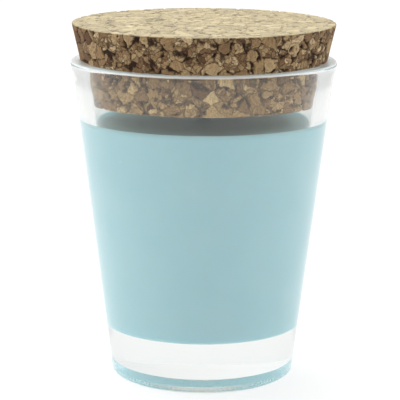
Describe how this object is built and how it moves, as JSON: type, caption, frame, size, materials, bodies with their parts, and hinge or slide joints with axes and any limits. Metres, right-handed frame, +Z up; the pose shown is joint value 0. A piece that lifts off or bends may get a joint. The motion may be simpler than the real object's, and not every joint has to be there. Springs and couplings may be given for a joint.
{
  "type": "corked glass candle",
  "caption": "Tapered clear glass with a thick base, filled with hard pale blue wax around a wick and closed by a tapered granulated cork stopper that lifts off.",
  "frame": {"origin": "centre of the foot, on the surface that the glass stands on", "axes": "+Z up along the axis of the glass; the object is round about it, so +X and +Y are free"},
  "size_m": [0.05, 0.05, 0.0674],
  "materials": {
    "clear_glass": "gloss",
    "blue_wax": "satin",
    "cotton_braid": "matte",
    "tinned_steel": "satin",
    "adhesive": "satin",
    "granulated_cork": "matte"
  },
  "bodies": {
    "candle_glass": {"glass": "clear_glass", "wax_fill": "blue_wax", "wick": "cotton_braid", "wick_tab": "tinned_steel", "tab_adhesive": "adhesive"},
    "stopper": {"cork_stopper": "granulated_cork"}
  },
  "joints": [
    {"name": "stopper_lift", "type": "slide", "parent": "candle_glass", "child": "stopper", "axis": [0, 0, 1], "range_m": [0, 0.03]}
  ]
}
